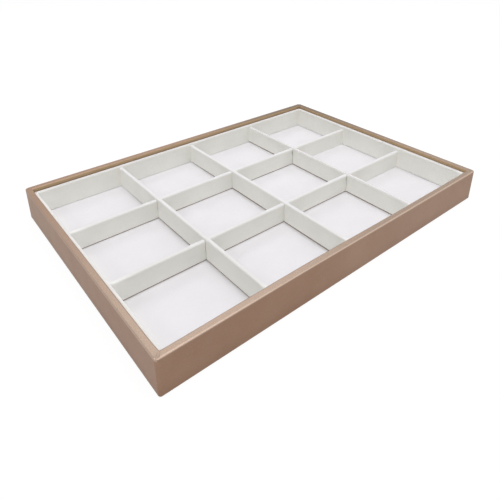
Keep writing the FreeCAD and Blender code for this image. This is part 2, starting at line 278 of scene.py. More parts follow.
@dataclass(frozen=True)
class RimLightAndWear:
    """Painted light and wear on the wrap: a painted sheen paling the rim, more at the front, with polish;
    painted highlights on the near outer edges and the front's right end; painted shade on the far outer
    edges and at the flap's foot; and the flap's golden colour; in millimetres.
    """

    half_length: float = WRAP_HIGH.x / MM
    half_width: float = WRAP_HIGH.y / MM
    top: float = WRAP_HIGH.z / MM
    rim_width: float = (FLOOR_CARD_LOW.x - WRAP_LOW.x) / MM
    seam_height: float = FRONT_LINER_HIGH.z / MM
    # Painted sheen on the rim's top, standing in for the light that its gloss catches.
    pale: Colour = srgb(168, 154, 141)
    lip: Colour = srgb(182, 158, 124)
    # Painted shade at the flap's foot, where it meets the lining.
    seam_shade: Colour = srgb(108, 88, 62)
    # Painted highlight for the near outer edges, also a painted sheen on the front's right end.
    edge: Colour = srgb(200, 176, 158)
    # Painted shade for the far outer edges, which face away from the light.
    far_shade: Colour = srgb(104, 98, 86)
    # How strong the rim's painted sheen is, and how the noise breaks it up.
    pale_share: float = 0.66
    sheen_spread: float = 0.4
    lip_share: float = 0.8
    seam_shade_share: float = 0.92
    highlight_share: float = 0.9
    # Strength of the painted sheen on the front's right end.
    right_sheen_share: float = 0.155
    far_shade_share: float = 0.64
    # The painted sheen, highlights and polish at the back, as a share of the front's.
    back_share: float = 0.40
    polish: float = 0.04
    rim_depth: float = 1.4
    fold_depths: Band = (0.15, 0.55)
    fold_shares: Band = (0.5, 0.7)
    seam_rise: float = 1.8
    # Width of the band by the near outer edges that takes the painted highlight.
    highlight_width: float = 1.5
    full_share: float = 0.6
    front_fall: float = 0.8
    left_fall: float = 2.6
    left_start: float = 0.5
    # Where along the front the painted sheen on its right end grows.
    right_sheen_band: Band = (-60.0, 10.0)
    # Width and place of the painted shade on the far outer edges.
    far_shade_width: float = 8.0
    far_shade_band: Band = (80.0, 280.0)

    def painted_and_worn(self, tree: FinishTree, place: Value, colour: Value, cloud: Value) -> tuple[Value, Value]:
        """Paints light and shade on the wrap, and colours its golden flap.

        Args:
            tree: the tree of the finish.
            place: the place on the piece.
            colour: the colour without the painted light and shade.
            cloud: soft noise that breaks the painted sheen up.

        Returns:
            The colour with painted light and shade, and a mask of the rim's painted sheen, which also sets
            the rim's polish.
        """
        x, y, z = tree.axes(place)
        left, front = x + self.half_length, y + self.half_width
        right, back = self.half_length - x, self.half_width - y
        inset = left.smaller(right).smaller(front).smaller(back)
        # Painted sheen and highlights grow towards the front, as the rim's polish does.
        painted_light = y.rise(self.half_width, -self.half_width) * (1 - self.back_share) + self.back_share
        fold = z.rise(*(self.top - depth for depth in self.fold_depths))
        fold = fold * inset.rise(*(self.rim_width * share for share in self.fold_shares))
        # Painted shade at the flap's foot fades out above the lining's top.
        seam_shade = z.rise(self.seam_height + self.seam_rise, self.seam_height)
        on_rim = self.near_top(z, self.rim_depth)
        rim = on_rim * (1 - fold) * painted_light
        # Masks for the painted highlight on the near outer edges.
        near_front = self.beside(front, self.highlight_width)
        front_edge = near_front * self.near_top(z, self.front_fall)
        left_edge = self.beside(left, self.highlight_width) * self.near_top(z, self.left_fall)
        left_edge = left_edge * z.rise(self.top, self.top - self.left_start)
        # Mask for the painted shade on the far outer edges.
        far_rim = self.beside(right.smaller(back), self.far_shade_width) * on_rim
        far_rim = far_rim * (x + y).rise(*self.far_shade_band)
        # Painted sheen: the rim's top is paled, more at the front.
        colour = tree.mix(colour, self.pale, rim * self.pale_share * cloud.varied(self.sheen_spread))
        # Painted sheen on the front's right end.
        colour = tree.mix(colour, self.edge, near_front * x.rise(*self.right_sheen_band) * self.right_sheen_share)
        # Painted highlight on the near outer edges.
        colour = tree.mix(colour, self.edge, front_edge.larger(left_edge) * self.highlight_share * painted_light)
        # Painted shade on the far outer edges.
        colour = tree.mix(colour, self.far_shade, far_rim * self.far_shade_share)
        colour = tree.mix(colour, self.lip, fold * self.lip_share)
        # Painted shade at the flap's foot.
        return tree.mix(colour, self.seam_shade, fold * seam_shade * self.seam_shade_share), rim

    def beside(self, distance: Value, width: float) -> Value:
        """One along an outer edge and nought further in than the given width."""
        return distance.rise(width, width * self.full_share)

    def near_top(self, height: Value, fall: float) -> Value:
        """One on the rim and nought further down than the given fall."""
        return height.rise(self.top - fall, self.top - fall / 2)


@dataclass(frozen=True)
class PaintedShading:
    """Painted shade greying a white sheet towards the near left corner, and painted light brightening it by
    the left and front walls, where shadow falls; in millimetres.
    """

    painted_shade: Colour
    painted_fill: Colour
    painted_shade_share: float
    painted_fill_share: float
    left: float = LEFT_LINER_HIGH.x / MM
    front: float = FRONT_LINER_HIGH.y / MM
    painted_shade_band: Band = (20.0, -200.0)
    painted_fill_width: float = 21.0
    front_narrower: float = 2.0

    def painted_light(self, tree: FinishTree, place: Value, colour: Value) -> Value:
        """Paints the shade towards the near left corner and the light by the walls.

        Args:
            tree: the tree of the finish.
            place: the place on the piece.
            colour: the sheet's colour without the painted shade and light.

        Returns:
            The colour with the painted shade and light.
        """
        x, y, _ = tree.axes(place)
        # Painted shade: the sheet greys towards the near left corner.
        shaded = tree.mix(colour, self.painted_shade, (x + y).rise(*self.painted_shade_band) * self.painted_shade_share)
        # Painted light: the sheet is brightened by the left and front walls, where their shadow falls.
        distance = (x - self.left).smaller((y - self.front) * self.front_narrower)
        return tree.mix(shaded, self.painted_fill, distance.rise(self.painted_fill_width, 0.0) * self.painted_fill_share)


@dataclass(frozen=True)
class Leatherette(Finish):
    """Coated sheet with a pebbled grain, mottled colour and a soft sheen, with optional painted light and
    shade; sizes in millimetres.
    """

    colour: Colour
    shade: Colour
    crease: Colour
    scuff: Colour
    pebble: float
    grain_depth: float
    roughness: float
    roughness_spread: float
    coat: float
    scuff_share: float
    pearl: float = 0.0
    gloss: float = 0.5
    edge_tint: Colour = (1.0, 1.0, 1.0)
    foot_shade: float = 0.0
    foot_height: float = 4.0
    # A painted tint for faces that look upwards, standing in for the light from above.
    crown: Union[Colour, None] = None
    # Painted shade towards the near left corner and painted light by the walls.
    painted_shading: Union[PaintedShading, None] = None
    # Painted light and shade on the rim, its golden flap and its polish.
    rim_light_and_wear: Union[RimLightAndWear, None] = None
    mottle: float = 22.0
    fleck: float = 2.6
    fleck_share: float = 0.35
    patch_band: Band = (0.34, 0.66)
    crease_share: float = 0.22
    pore_size: float = 0.35
    pore_relief: float = 0.25
    streak: float = 5.0
    streak_detail: float = 6.0
    streak_stretch: Point = (0.35, 0.35, 1.6)
    streak_band: Band = (0.60, 0.74)
    top_tint_band: Band = (0.35, 0.85)
    top_tint_loss: float = 0.1
    crease_dulls: float = 0.7
    mottle_dulls: float = 0.6
    shade_spread: float = 0.8
    pearl_spread: float = 0.8
    coat_spread: float = 0.6
    coat_roughness: float = 0.22

    def lay(self, tree: FinishTree) -> None:
        """Works out the colour, the sheen and the grain.

        Args:
            tree: the material's empty tree.
        """
        place = tree.millimetres()
        pebbles = tree.pebbles(place, self.pebble)
        pores = tree.cloud(place, self.pebble * self.pore_size)
        cloud = tree.cloud(place, self.mottle)
        fleck = tree.cloud(place, self.fleck)
        patches = (cloud * (1 - self.fleck_share) + fleck * self.fleck_share).rise(*self.patch_band)
        colour = tree.mix(self.colour, self.shade, patches)
        colour = tree.mix(colour, self.crease, (1 - pebbles) * self.crease_share)
        if self.foot_shade:
            low = tree.axes(place)[2].rise(self.foot_height, 0.0) * cloud.varied(self.shade_spread)
            colour = tree.mix(colour, self.crease, low * self.foot_shade)
        streaks = tree.cloud(tree.stretched(place, self.streak_stretch), self.streak, self.streak_detail)
        colour = tree.mix(colour, self.scuff, streaks.rise(*self.streak_band) * self.scuff_share)
        # Painted tint on upward faces, for the light from above.
        if self.crown:
            upwards = tree.axes(tree.value("ShaderNodeNewGeometry", "Normal"))[2]
            painted_top_tint = upwards.rise(*self.top_tint_band) * (1 - self.top_tint_loss * fleck)
            colour = tree.mix(colour, self.crown, painted_top_tint)
        # Painted shade towards the near left corner and painted light by the walls.
        if self.painted_shading:
            colour = self.painted_shading.painted_light(tree, place, colour)
        uneven = self.crease_dulls * (1 - pebbles) + self.mottle_dulls * (cloud - 0.5)
        dull = self.roughness + self.roughness_spread * uneven
        # Painted light and shade on the rim, with its golden flap and its polish.
        if self.rim_light_and_wear:
            colour, rim = self.rim_light_and_wear.painted_and_worn(tree, place, colour, cloud)
            dull = dull - rim * self.rim_light_and_wear.polish
        tree.surface(
            {
                "Base Color": colour,
                "Roughness": dull,
                "Metallic": self.pearl * fleck.varied(self.pearl_spread),
                "Normal": tree.bump(pebbles + self.pore_relief * pores, self.grain_depth),
                "Coat Weight": self.coat * fleck.varied(self.coat_spread),
                "Specular IOR Level": self.gloss,
                "Specular Tint": opaque(self.edge_tint),
                "Coat Roughness": self.coat_roughness,
            }
        )


@dataclass(frozen=True)
class CutBoard(Finish):
    """Raw pressed board: fibres, specks and the faint layers of its cut edges; sizes in millimetres."""

    colour: Colour
    dark: Colour
    pale: Colour
    fibre: float
    layer: float
    fibre_stretch: Point = (1.0, 1.0, 3.0)
    fibre_detail: float = 5.0
    fibre_band: Band = (0.45, 0.75)
    fibre_share: float = 0.7
    speck_size: float = 0.4
    speck_band: Band = (0.62, 0.72)
    speck_share: float = 0.5
    speck_relief: float = 0.3
    speck_sheen: float = 0.15
    layer_stretch: Point = (0.04, 0.04, 1.0)
    layer_band: Band = (0.5, 0.7)
    layer_share: float = 0.4
    relief_depth: float = 0.06
    roughness: float = 0.9
    gloss: float = 0.25

    def lay(self, tree: FinishTree) -> None:
        """Works out the colour and the fibres.

        Args:
            tree: the material's empty tree.
        """
        place = tree.millimetres()
        fibres = tree.cloud(tree.stretched(place, self.fibre_stretch), self.fibre, self.fibre_detail)
        specks = tree.cloud(place, self.fibre * self.speck_size, 1.0)
        layers = tree.cloud(tree.stretched(place, self.layer_stretch), self.layer, 1.0)
        colour = tree.mix(self.colour, self.dark, fibres.rise(*self.fibre_band) * self.fibre_share)
        colour = tree.mix(colour, self.pale, specks.rise(*self.speck_band) * self.speck_share)
        colour = tree.mix(colour, self.dark, layers.rise(*self.layer_band) * self.layer_share)
        relief = fibres * (1 - self.speck_relief) + specks * self.speck_relief
        tree.surface(
            {
                "Base Color": colour,
                "Roughness": self.roughness - self.speck_sheen * specks,
                "Normal": tree.bump(relief, self.relief_depth),
                "Specular IOR Level": self.gloss,
            }
        )


@dataclass(frozen=True)
class FlockedPaper(Finish):
    """Dark paper with a short velvety nap; sizes in millimetres."""

    colour: Colour
    pale: Colour
    nap: float
    nap_detail: float = 4.0
    nap_depth: float = 0.08
    brush_naps: float = 60.0
    brush_detail: float = 3.0
    brush_stretch: Point = (1.0, 0.3, 1.0)
    brush_sheen: float = 0.08
    pale_band: Band = (0.4, 0.68)
    pale_share: float = 0.6
    roughness: float = 0.95
    velvet: float = 0.3
    velvet_roughness: float = 0.4
    gloss: float = 0.2

    def lay(self, tree: FinishTree) -> None:
        """Works out the colour and the nap.

        Args:
            tree: the material's empty tree.
        """
        place = tree.millimetres()
        nap = tree.cloud(place, self.nap, self.nap_detail)
        brush_size = self.nap * self.brush_naps
        brushed = tree.cloud(tree.stretched(place, self.brush_stretch), brush_size, self.brush_detail)
        paled = (nap * 0.5 + brushed * 0.5).rise(*self.pale_band) * self.pale_share
        tree.surface(
            {
                "Base Color": tree.mix(self.colour, self.pale, paled),
                "Roughness": self.roughness - self.brush_sheen * brushed,
                "Normal": tree.bump(nap, self.nap_depth),
                "Sheen Weight": self.velvet,
                "Sheen Roughness": self.velvet_roughness,
                "Specular IOR Level": self.gloss,
            }
        )


TAUPE = Leatherette(
    name="taupe_leatherette_grain",
    slot="taupe_leatherette",
    colour=srgb(171, 139, 118),
    shade=srgb(166, 133, 112),
    crease=srgb(136, 103, 82),
    scuff=srgb(177, 147, 127),
    pebble=0.75,
    grain_depth=0.012,
    roughness=0.30,
    roughness_spread=0.10,
    coat=0.0,
    scuff_share=0.06,
    pearl=0.35,
    gloss=0.03,
    edge_tint=(0.85, 0.83, 0.81),
    foot_shade=0.30,
    foot_height=13.0,
    # Painted sheen, highlights and shade on the rim, its golden flap and polish.
    rim_light_and_wear=RimLightAndWear(),
)
WHITE = Leatherette(
    name="white_leatherette_grain",
    slot="white_leatherette",
    colour=srgb(243, 243, 237),
    shade=srgb(238, 238, 232),
    crease=srgb(214, 213, 207),
    scuff=srgb(224, 223, 217),
    pebble=0.7,
    grain_depth=0.03,
    roughness=0.52,
    roughness_spread=0.14,
    coat=0.05,
    scuff_share=0.10,
    # Painted tint for the upward faces: the light from above.
    crown=srgb(233, 232, 234),
    # Painted shade towards the near left corner, painted light by the walls.
    painted_shading=PaintedShading(srgb(223, 223, 217), srgb(255, 255, 253), painted_shade_share=0.4, painted_fill_share=0.45),
)
# A second copy of the white leatherette for the floor, darker and lavender-tinted as painted light for a
# sheet that faces up.
FLOOR_WHITE = Leatherette(
    name="floor_leatherette_grain",
    slot="white_leatherette",
    colour=srgb(236, 235, 238),
    shade=srgb(232, 231, 234),
    crease=srgb(213, 212, 215),
    scuff=srgb(223, 222, 225),
    pebble=0.7,
    grain_depth=0.03,
    roughness=0.55,
    roughness_spread=0.12,
    coat=0.04,
    scuff_share=0.10,
    # Painted shade towards the near left corner, painted light by the walls.
    painted_shading=PaintedShading(srgb(228, 227, 230), srgb(255, 254, 255), painted_shade_share=0.4, painted_fill_share=0.72),
)
GREYBOARD = CutBoard(
    name="greyboard_cut",
    slot="greyboard",
    colour=srgb(122, 94, 60),
    dark=srgb(90, 68, 44),
    pale=srgb(152, 126, 92),
    fibre=0.5,
    layer=0.35,
)
FIBREBOARD = CutBoard(
    name="fibreboard_raw",
    slot="fibreboard",
    colour=srgb(178, 146, 108),
    dark=srgb(140, 110, 78),
    pale=srgb(200, 172, 134),
    fibre=0.8,
    layer=0.6,
)
COVER_PAPER = FlockedPaper(
    name="underside_flock",
    slot="underside_paper",
    colour=srgb(88, 78, 72),
    pale=srgb(118, 106, 98),
    nap=0.35,
)


def levels(node: str, axis: int) -> list[float]:
    """The places along an axis (0, 1 or 2) where a squarely cut board has its faces, lowest first."""
    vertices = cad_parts[node].data.vertices
    return sorted({round(vertex.co[axis], 6) for vertex in vertices})


def clamped(share: float) -> float:
    """A share kept from 0 to 1."""
    return min(max(share, 0.0), 1.0)


def steps(start: float, end: float, longest: float) -> list[float]:
    """Divides a stretch into even steps: the places from its start up to, but not including, its end."""
    count = max(1, math.ceil(abs(end - start) / longest))
    return [start + (end - start) * index / count for index in range(count)]


def arc(centre: Spot, radius: float, first: float, last: float, count: int) -> list[Spot]:
    """Points along an arc from its first to its last angle, in degrees, both ends included."""
    turns = [math.radians(first + (last - first) * index / count) for index in range(count + 1)]
    return [(centre[0] + radius * math.cos(turn), centre[1] + radius * math.sin(turn)) for turn in turns]


def ripple(place: Vector, size: float, seed: float) -> float:
    """Gentle unevenness of a glued sheet, from about -1 to 1, set apart from another's by the seed."""
    return noise.noise(place / size + Vector((seed, seed * 1.7, seed * 0.6)))


def dip(place: Vector, size: float, seed: float, depth: float) -> float:
    """A ripple as a shift of the sheet's face, from minus its depth up to about nought."""
    return (ripple(place, size, seed) - 1.0) / 2 * depth


def grid_faces(columns: int, rows: int) -> list[Face]:
    """Joins the points of a grid, which are listed column by column, into faces."""
    corners = [column * rows + row for column in range(columns - 1) for row in range(rows - 1)]
    return [(corner, corner + 1, corner + rows + 1, corner + rows) for corner in corners]


def new_piece(name: str, points: Sequence[Point], faces: Sequence[Face]) -> bpy.types.Object:
    """Makes a smooth-shaded mesh piece and drops the points that no face uses.

    Args:
        name: the piece's name.
        points: its points in the tray's frame.
        faces: its faces, as indices of points.

    Returns:
        The new object, in the scene.
    """
    used = sorted({index for face in faces for index in face})
    renumbered = {index: place for place, index in enumerate(used)}
    mesh = bpy.data.meshes.new(name)
    mesh.from_pydata([points[i] for i in used], [], [[renumbered[i] for i in face] for face in faces])
    mesh.validate()
    mesh.shade_smooth()
    piece = bpy.data.objects.new(name, mesh)
    bpy.context.scene.collection.objects.link(piece)
    return piece


def thicken(piece: bpy.types.Object, thickness: float) -> None:
    """Gives a sheet its thickness, behind its face.

    Args:
        piece: the sheet, with its face's normals outwards.
        thickness: its thickness in metres.
    """
    solid = piece.modifiers.new("thickness", "SOLIDIFY")
    solid.thickness = thickness
    solid.offset = -1.0
    solid.use_even_offset = True
    solid.use_rim = True
    sharp = piece.modifiers.new("crisp_edges", "EDGE_SPLIT")
    sharp.split_angle = CRISP_ANGLE
    sharp.use_edge_sharp = False


def dress(piece: bpy.types.Object, finish: Finish, node: str, body: str) -> None:
    """Finishes a piece, lets it stand for its board's node, and fixes it to its body.

    Args:
        piece: the piece.
        finish: its finish.
        node: the node that it stands for.
        body: the body that it rides on.
    """
    piece.data.materials.append(finish.material())
    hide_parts(node)
    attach(piece, body)
    LOG.info("%s stands for %s on %s, %d points", piece.name, node, body, len(piece.data.vertices))


class Zone(Enum):
    """The stretches of the wrap's section, from the turned-in edge round to the flap inside the rim."""

    TURN_IN = "turned in under the base"
    FOOT = "rounded foot"
    SIDE = "outside"
    EDGE = "rounded outer edge of the rim"
    RIM = "top of the rim"
    LIP = "rounded inner edge and flap"
    BACK = "glued side, against the boards"


@dataclass(frozen=True)
class SectionPoint:
    """A point of the wrap's section: how far in from the outside, how high, and where on the skin."""

    inset: float
    height: float
    zone: Zone


@dataclass
class OuterWrap:
    """The taupe skin of the frame: outside, rim, flap inside the rim, and the edge turned in below."""

    half_length: float = WRAP_HIGH.x
    half_width: float = WRAP_HIGH.y
    bottom: float = WRAP_LOW.z
    top: float = WRAP_HIGH.z
    thickness: float = RAIL_LOW.x - WRAP_LOW.x
    rim_width: float = FLOOR_CARD_LOW.x - WRAP_LOW.x
    flap_foot: float = BASE_HIGH.z
    turn_in: float = levels("underside_cover", 0)[1] - WRAP_LOW.x
    liner_top: float = FRONT_LINER_HIGH.z
    corner_radius: float = 2.8 * MM
    foot_corner_radius: float = 2.0 * MM
    edge_radius: float = 0.55 * MM
    lip_radius: float = 1.2 * MM
    foot_radius: float = 1.2 * MM
    least_radius: float = 0.25 * MM
    ripple_depth: float = 0.07 * MM
    ripple_size: float = 34 * MM
    ripple_seed: float = 3.1
    crown: float = 0.06 * MM
    crease_depth: float = 0.30 * MM
    crease_width: float = 0.42 * MM
    crease_apart: float = 0.85 * MM
    crease_reach: float = 3.0 * MM
    pleat_depth: float = 0.05 * MM
    pleats: int = 4
    pleat_reach: float = 4.5 * MM
    edge_bow: float = 0.5 * MM
    lip_bow: float = 1.05 * MM
    bow_middle: float = -52 * MM
    bow_reach: float = 125 * MM
    lip_ease: float = 0.45 * MM
    ease_reach: float = 14 * MM
    corner_steps: int = 20
    bend_steps: int = 6
    edge_steps: int = 8
    side_step: float = 2.4 * MM
    rim_step: float = 0.45 * MM
    lip_step: float = 1.5 * MM
    flap_step: float = 4 * MM
    run_step: float = 5 * MM
    run_ends_mm: tuple[float, ...] = (0.12, 0.25, 0.4, 0.55, 0.7, 0.9, 1.2, 1.8, 2.8)

    def tallness(self, height: float) -> float:
        """How high a place is, from 0 at the foot to 1 on the rim."""
        return (height - self.bottom) / (self.top - self.bottom)

    def section(self) -> list[SectionPoint]:
        """Draws the closed section of the skin.

        Returns:
            Its points, outside first, then back along the glued side.
        """
        foot = (self.foot_radius, self.bottom + self.foot_radius)
        edge = (self.edge_radius, self.top - self.edge_radius)
        lip = (self.rim_width - self.lip_radius, self.top - self.lip_radius)
        under = [(inset, self.bottom) for inset in steps(self.turn_in, foot[0], self.flap_step)]
        side = [(0.0, height) for height in steps(foot[1], edge[1], self.side_step)[1:]]
        rim = [(inset, self.top) for inset in steps(edge[0], lip[0], self.rim_step)[1:]]
        drop = steps(lip[1], self.liner_top, self.lip_step)[1:]
        drop += steps(self.liner_top, self.flap_foot, self.flap_step)
        flap = [(self.rim_width, height) for height in drop]
        inner = self.rim_width - self.thickness
        roof = self.top - self.thickness
        sill = self.bottom + self.thickness
        back = [
            (self.rim_width, self.flap_foot),
            (inner, self.flap_foot),
            (inner, roof),
            (self.thickness, roof),
            (self.thickness, sill),
            (self.turn_in, sill),
        ]
        stretches = (
            (Zone.TURN_IN, under),
            (Zone.FOOT, arc(foot, self.foot_radius, 270, 180, self.bend_steps)),
            (Zone.SIDE, side),
            (Zone.EDGE, arc(edge, self.edge_radius, 180, 90, self.edge_steps)),
            (Zone.RIM, rim),
            (Zone.LIP, arc(lip, self.lip_radius, 90, 0, self.bend_steps) + flap),
            (Zone.BACK, back),
        )
        return [SectionPoint(*point, zone) for zone, points in stretches for point in points]

    def run_shares(self, length: float) -> list[float]:
        """Divides a straight run, finely by its two corners.

        Args:
            length: the run's length in metres.

        Returns:
            Places between its ends, as shares of its length.
        """
        close = [end * MM for end in self.run_ends_mm]
        middle = steps(close[-1], length - close[-1], self.run_step)[1:]
        places = close + middle + [length - place for place in reversed(close)]
        return [place / length for place in places]

    def ring(self, point: SectionPoint) -> list[Point]:
        """Goes round the tray at one point of the section; the corners are rounder at the rim.

        Args:
            point: the point of the section.

        Returns:
            Points as X, Y and how far round a corner they are: 0 to 1 on a corner, -1 on a run.
        """
        rounder = (self.corner_radius - self.foot_corner_radius) * self.tallness(point.height)
        radius = max(self.foot_corner_radius + rounder - point.inset, self.least_radius)
        reach_x = self.half_length - point.inset - radius
        reach_y = self.half_width - point.inset - radius
        centres = [(reach_x, reach_y), (-reach_x, reach_y), (-reach_x, -reach_y), (reach_x, -reach_y)]
        quarters = [
            arc(centre, radius, 90 * corner, 90 * (corner + 1), self.corner_steps)
            for corner, centre in enumerate(centres)
        ]
        runs = [self.run_shares(2 * self.half_length), self.run_shares(2 * self.half_width)] * 2
        points = []
        for quarter, following, run in zip(quarters, quarters[1:] + quarters[:1], runs):
            points += [(x, y, index / self.corner_steps) for index, (x, y) in enumerate(quarter)]
            x, y = quarter[-1]
            run_x, run_y = following[0][0] - x, following[0][1] - y
            points += [(x + run_x * share, y + run_y * share, -1.0) for share in run]
        return points

    def outwards(self, x: float, y: float) -> Vector:
        """The level direction straight out of the tray at a place on its outside."""
        beyond_x = max(abs(x) - (self.half_length - self.corner_radius), 0.0)
        beyond_y = max(abs(y) - (self.half_width - self.corner_radius), 0.0)
        return Vector((math.copysign(beyond_x, x), math.copysign(beyond_y, y), 0.0)).normalized()

    def warp(self, x: float, y: float, point: SectionPoint) -> Vector:
        """How far the front rail is bowed in, and the left rim's lip drawn back, at a place on the skin.

        Args:
            x: the place along the tray.
            y: the place across it.
            point: the point of the section.

        Returns:
            The level offset of the skin there.
        """
        inside = clamped((point.inset - self.edge_radius) / (self.rim_width - self.edge_radius))
        lift = clamped((point.height - self.liner_top) / (self.top - self.liner_top))
        free = inside * min(2 * lift, 1.0)
        if self.half_width + y < self.half_length - abs(x):
            from_middle = min(abs(x - self.bow_middle) / self.bow_reach, 1.0)
            bow = math.cos(math.pi / 2 * from_middle) ** 2
            outer = self.edge_bow * self.tallness(point.height) ** 2 * (1.0 - inside)
            return Vector((0.0, bow * (outer + self.lip_bow * free), 0.0))
        if self.half_length + x < self.half_width - abs(y):
            run = min((self.half_width - abs(y)) / self.ease_reach, 1.0)
            return Vector((-self.lip_ease * run * run * free, 0.0, 0.0))
        return Vector()

    def relief(self, x: float, y: float, round_corner: float, point: SectionPoint) -> Vector:
        """How far the skin departs from its plain section: bow, ripples, crown, mitre creases and pleats.

        Args:
            x: the place along the tray.
            y: the place across it.
            round_corner: how far round a corner, from 0 to 1, or -1 on a run.
            point: the point of the section.

        Returns:
            The offset of the skin there.
        """
        zone = point.zone
        if zone in (Zone.BACK, Zone.TURN_IN):
            return Vector()
        up = Vector((0.0, 0.0, 1.0))
        offset = self.warp(x, y, point)
        wave = dip(Vector((x, y, point.height)), self.ripple_size, self.ripple_seed, self.ripple_depth)
        if zone in (Zone.SIDE, Zone.EDGE):
            offset += self.outwards(x, y) * wave
        if zone in (Zone.RIM, Zone.EDGE):
            across = (point.inset - self.rim_width / 2) / (self.rim_width / 2)
            offset += up * (wave / 2 - self.crown * across * across)
        if zone in (Zone.RIM, Zone.EDGE, Zone.LIP) and point.height > self.top - 2 * self.edge_radius:
            from_diagonal = ((self.half_length - abs(x)) - (self.half_width - abs(y))) / math.sqrt(2)
            from_crease = (abs(from_diagonal) - self.crease_apart) / self.crease_width
            fade = math.exp(-((point.inset / self.crease_reach) ** 4))
            offset -= up * self.crease_depth * fade * math.exp(-(from_crease**2))
        if zone in (Zone.SIDE, Zone.EDGE) and round_corner >= 0:
            depth = self.top - point.height
            fade = math.exp(-((depth / self.pleat_reach) ** 2)) * math.sin(math.pi * round_corner)
            fold = math.cos(2 * math.pi * self.pleats * round_corner) - 1.0
            offset += self.outwards(x, y) * self.pleat_depth * fade * fold
        return offset

    def build(self) -> None:
        """Sweeps the section round the tray."""
        section = self.section()
        rings = [self.ring(point) for point in section]
        points = [
            tuple(Vector((x, y, point.height)) + self.relief(x, y, corner, point))
            for point, ring in zip(section, rings)
            for x, y, corner in ring
        ]
        around = len(rings[0])
        faces = []
        for row in range(len(section)):
            near = row * around
            far = (row + 1) % len(section) * around
            for column in range(around):
                beside = (column + 1) % around
                faces.append((near + column, near + beside, far + beside, far + column))
        dress(new_piece("wrap_leatherette", points, faces), TAUPE, "outer_wrap", "tray")


class Wall(Enum):
    """The four walls, each with its name, its turn and how far its sheet has sunk."""

    FRONT = ("front", 0, 0.0)
    BACK = ("back", 180, 0.35 * MM)
    LEFT = ("left", -90, 0.0)
    RIGHT = ("right", 90, 0.0)

    def __init__(self, word: str, degrees: float, sunk: float) -> None:
        """Holds the name, the turn that points a panel's own +Y into the tray, and the sinking."""
        self.word = word
        self.turn = Matrix.Rotation(math.radians(degrees), 4, "Z")
        self.sunk = sunk


@dataclass
class LinerSheet:
    """The white sheet of one wall panel: down its face and folded back over its top."""

    wall: Wall
    length: float
    depth: float
    foot: float
    top: float
    thickness: float
    back: Vector
    fold_radius: float = 0.6 * MM
    fold_steps: int = 6
    seam_gap: float = 0.12 * MM
    ripple_depth: float = 0.06 * MM
    ripple_size: float = 26 * MM
    trim_wander: float = 0.10 * MM
    trim_size: float = 15 * MM
    trim_seed: float = 9.0
    roof_step: float = 0.6 * MM
    face_step: float = 3 * MM
    longest_step: float = 4 * MM

    @classmethod
    def from_frame(cls, wall: Wall) -> "LinerSheet":
        """Reads one panel's sizes off the frame.

        Args:
            wall: the wall that it lines.

        Returns:
            The sheet.
        """
        low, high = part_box(f"{wall.word}_liner_skin")
        inverse = wall.turn.inverted()
        corners = [inverse @ low, inverse @ high]
        card = [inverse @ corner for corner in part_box(f"{wall.word}_liner_card")]
        start, end = sorted(corner.x for corner in corners)
        rear, face = sorted(corner.y for corner in corners)
        return cls(
            wall=wall,
            length=end - start,
            depth=face - rear,
            foot=low.z,
            top=high.z - wall.sunk,
            thickness=face - max(corner.y for corner in card),
            back=Vector(((start + end) / 2, rear, 0.0)),
        )

    def section(self) -> list[Spot]:
        """Draws the sheet's visible side, from its rear edge over the fold and down the face.

        Returns:
            Points as depth from the panel's rear and height.
        """
        fold = (self.depth - self.fold_radius, self.top - self.fold_radius)
        roof = [(depth, self.top) for depth in steps(self.seam_gap, fold[0], self.roof_step)]
        face = [(self.depth, height) for height in steps(fold[1], self.foot, self.face_step)][1:]
        return roof + arc(fold, self.fold_radius, 90, 0, self.fold_steps) + face + [(self.depth, self.foot)]

    def build(self) -> None:
        """Draws the section along the wall, a little uneven."""
        seed = 1.0 + list(Wall).index(self.wall)
        half = self.length / 2 - self.seam_gap
        places = steps(-half, half, self.longest_step) + [half]
        section = self.section()
        points = []
        for along in places:
            for depth, height in section:
                place = Vector((along, depth, height))
                wave = dip(place, self.ripple_size, seed, self.ripple_depth)
                if height > self.top - self.fold_radius:
                    place.z += wave
                else:
                    place.y += wave
                if height == self.foot:
                    uneven = 1.0 + ripple(place, self.trim_size, seed + self.trim_seed)
                    place.z += self.trim_wander * uneven / 2
                points.append(tuple(self.wall.turn @ (self.back + place)))
        faces = grid_faces(len(places), len(section))
        piece = new_piece(f"{self.wall.word}_liner_leatherette", points, faces)
        thicken(piece, self.thickness - self.ripple_depth)
        dress(piece, WHITE, f"{self.wall.word}_liner_skin", "tray")


@dataclass
class FloorSheet:
    """The white sheet of the floor, glued down on its card."""

    low: Vector
    high: Vector
    ripple_depth: float = 0.06 * MM
    ripple_size: float = 40 * MM
    ripple_seed: float = 7.3
    longest_step: float = 5 * MM

    @classmethod
    def from_frame(cls) -> "FloorSheet":
        """Reads the floor's sizes off the frame."""
        return cls(*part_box("floor_skin"))

    def build(self) -> None:
        """Lays the sheet, a little uneven."""
        xs = steps(self.low.x, self.high.x, self.longest_step) + [self.high.x]
        ys = steps(self.low.y, self.high.y, self.longest_step) + [self.high.y]
        points = []
        for y in ys:
            for x in xs:
                wave = dip(Vector((x, y, 0.0)), self.ripple_size, self.ripple_seed, self.ripple_depth)
                points.append((x, y, self.high.z + wave))
        piece = new_piece("floor_leatherette", points, grid_faces(len(ys), len(xs)))
        thicken(piece, self.high.z - self.low.z - self.ripple_depth)
        dress(piece, FLOOR_WHITE, "floor_skin", "tray")


class Lap(Enum):
    """Which way a divider's slots open."""

    UP = "open at the top"
    DOWN = "open at the foot"


@dataclass(frozen=True)
class Fit:
    """How a sleeve fits: its cut edge's rise, where along the divider that settles, and its top's rise."""

    rise: float
    settles_from: float
    settles_to: float
    proud: float


